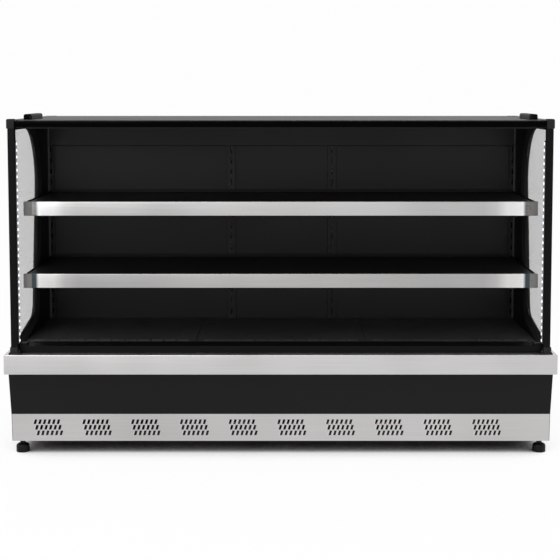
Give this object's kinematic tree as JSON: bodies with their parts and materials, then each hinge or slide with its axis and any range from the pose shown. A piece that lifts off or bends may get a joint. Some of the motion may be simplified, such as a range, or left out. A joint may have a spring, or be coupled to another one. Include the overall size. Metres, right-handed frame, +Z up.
{
  "type": "refrigerated display counter",
  "caption": "Open-fronted refrigerated display counter with a deck, hooked shelves, glazed ends, a fan-cooled tub and a louvred base.",
  "frame": {"origin": "on the floor, in the middle of the width and of the depth", "axes": "+X along the width to the right as seen from the front, +Y from the open front to the rear, +Z up"},
  "size_m": [2.047, 0.79, 1.288],
  "materials": {
    "stainless_steel": "fine horizontal brushing, satin",
    "galvanised_steel": "zinc-coated sheet, matte",
    "black_panel": "black powder coat, satin",
    "dark_frame": "black anodised extrusion, satin",
    "black_plastic": "moulded, satin",
    "grey_plastic": "moulded, satin",
    "black_rubber": "matte",
    "insulating_foam": null,
    "clear_glass": "tempered, slightly grey",
    "lit_lens": "milky lens over white light sources",
    "coil_metal": "bare fins and tubes",
    "copper_tube": "bare copper",
    "foot_steel": "black coated steel, satin",
    "black_enamel": "black enamelled steel can"
  },
  "bodies": {
    "case": {"base_frame": "galvanised_steel", "base_pan": "galvanised_steel", "base_sides": "black_panel", "plinth_grille": "stainless_steel", "front_panel": "black_panel", "bumper": "stainless_steel", "rear_service_panel": "black_panel", "tub_case": "galvanised_steel", "tub_insulation": "insulating_foam", "tub_liner": "galvanised_steel", "side_panel_left": "black_panel", "side_panel_right": "black_panel", "side_liners": "black_panel", "wall_insulation": "insulating_foam", "rear_panel": "black_panel", "duct_liner": "galvanised_steel", "roof_panel": "galvanised_steel", "ceiling_panel": "black_panel", "air_outlet_grille": "black_plastic", "roof_bars": "black_panel", "canopy_bar": "black_panel", "front_post_left": "dark_frame", "front_post_right": "dark_frame", "post_caps": "black_plastic", "led_strips": "lit_lens", "end_glass_left": "clear_glass", "end_glass_right": "clear_glass", "glass_seals": "black_rubber", "window_surrounds": "black_plastic", "back_panels": "black_panel", "shelf_uprights": "black_panel", "deck_lip": "black_panel", "deck_pans": "black_panel", "fan_plate": "galvanised_steel", "evaporator_fan_frames": "black_plastic", "evaporator_coil": "coil_metal", "condenser_coil": "coil_metal", "condenser_fan_frame": "black_plastic", "compressor": "black_enamel", "refrigerant_pipes": "copper_tube", "electrical_box": "grey_plastic", "cable_gland": "black_plastic", "drain_pipe": "grey_plastic", "fasteners": "galvanised_steel"},
    "shelf_top": {"shelf_pan_top": "black_panel", "shelf_brackets_top": "black_panel", "shelf_rail_top": "stainless_steel", "rail_caps_top": "grey_plastic"},
    "shelf_mid": {"shelf_pan_mid": "black_panel", "shelf_brackets_mid": "black_panel", "shelf_rail_mid": "stainless_steel", "rail_caps_mid": "grey_plastic"},
    "evaporator_fan_left": {"evaporator_fan_left": "black_plastic"},
    "evaporator_fan_mid": {"evaporator_fan_mid": "black_plastic"},
    "evaporator_fan_right": {"evaporator_fan_right": "black_plastic"},
    "condenser_fan": {"condenser_fan": "black_plastic"},
    "foot_front_left": {"foot_front_left": "foot_steel"},
    "foot_front_right": {"foot_front_right": "foot_steel"},
    "foot_rear_left": {"foot_rear_left": "foot_steel"},
    "foot_rear_right": {"foot_rear_right": "foot_steel"}
  },
  "joints": [
    {"name": "shelf_top_lift", "type": "slide", "parent": "case", "child": "shelf_top", "axis": [0, 0, 1], "range_m": [0, 0.009]},
    {"name": "shelf_mid_lift", "type": "slide", "parent": "case", "child": "shelf_mid", "axis": [0, 0, 1], "range_m": [0, 0.009]},
    {"name": "evaporator_fan_left_spin", "type": "hinge", "parent": "case", "child": "evaporator_fan_left", "pos_m": [-0.64647, -0.137, 0.3563], "axis": [0, 1, 0], "continuous": true},
    {"name": "evaporator_fan_mid_spin", "type": "hinge", "parent": "case", "child": "evaporator_fan_mid", "pos_m": [0, -0.137, 0.3563], "axis": [0, 1, 0], "continuous": true},
    {"name": "evaporator_fan_right_spin", "type": "hinge", "parent": "case", "child": "evaporator_fan_right", "pos_m": [0.64647, -0.137, 0.3563], "axis": [0, 1, 0], "continuous": true},
    {"name": "condenser_fan_spin", "type": "hinge", "parent": "case", "child": "condenser_fan", "pos_m": [-0.06, -0.168, 0.158], "axis": [0, 1, 0], "continuous": true},
    {"name": "foot_front_left_screw", "type": "slide", "parent": "case", "child": "foot_front_left", "axis": [0, 0, -1], "range_m": [0, 0.015]},
    {"name": "foot_front_right_screw", "type": "slide", "parent": "case", "child": "foot_front_right", "axis": [0, 0, -1], "range_m": [0, 0.015]},
    {"name": "foot_rear_left_screw", "type": "slide", "parent": "case", "child": "foot_rear_left", "axis": [0, 0, -1], "range_m": [0, 0.015]},
    {"name": "foot_rear_right_screw", "type": "slide", "parent": "case", "child": "foot_rear_right", "axis": [0, 0, -1], "range_m": [0, 0.015]}
  ]
}
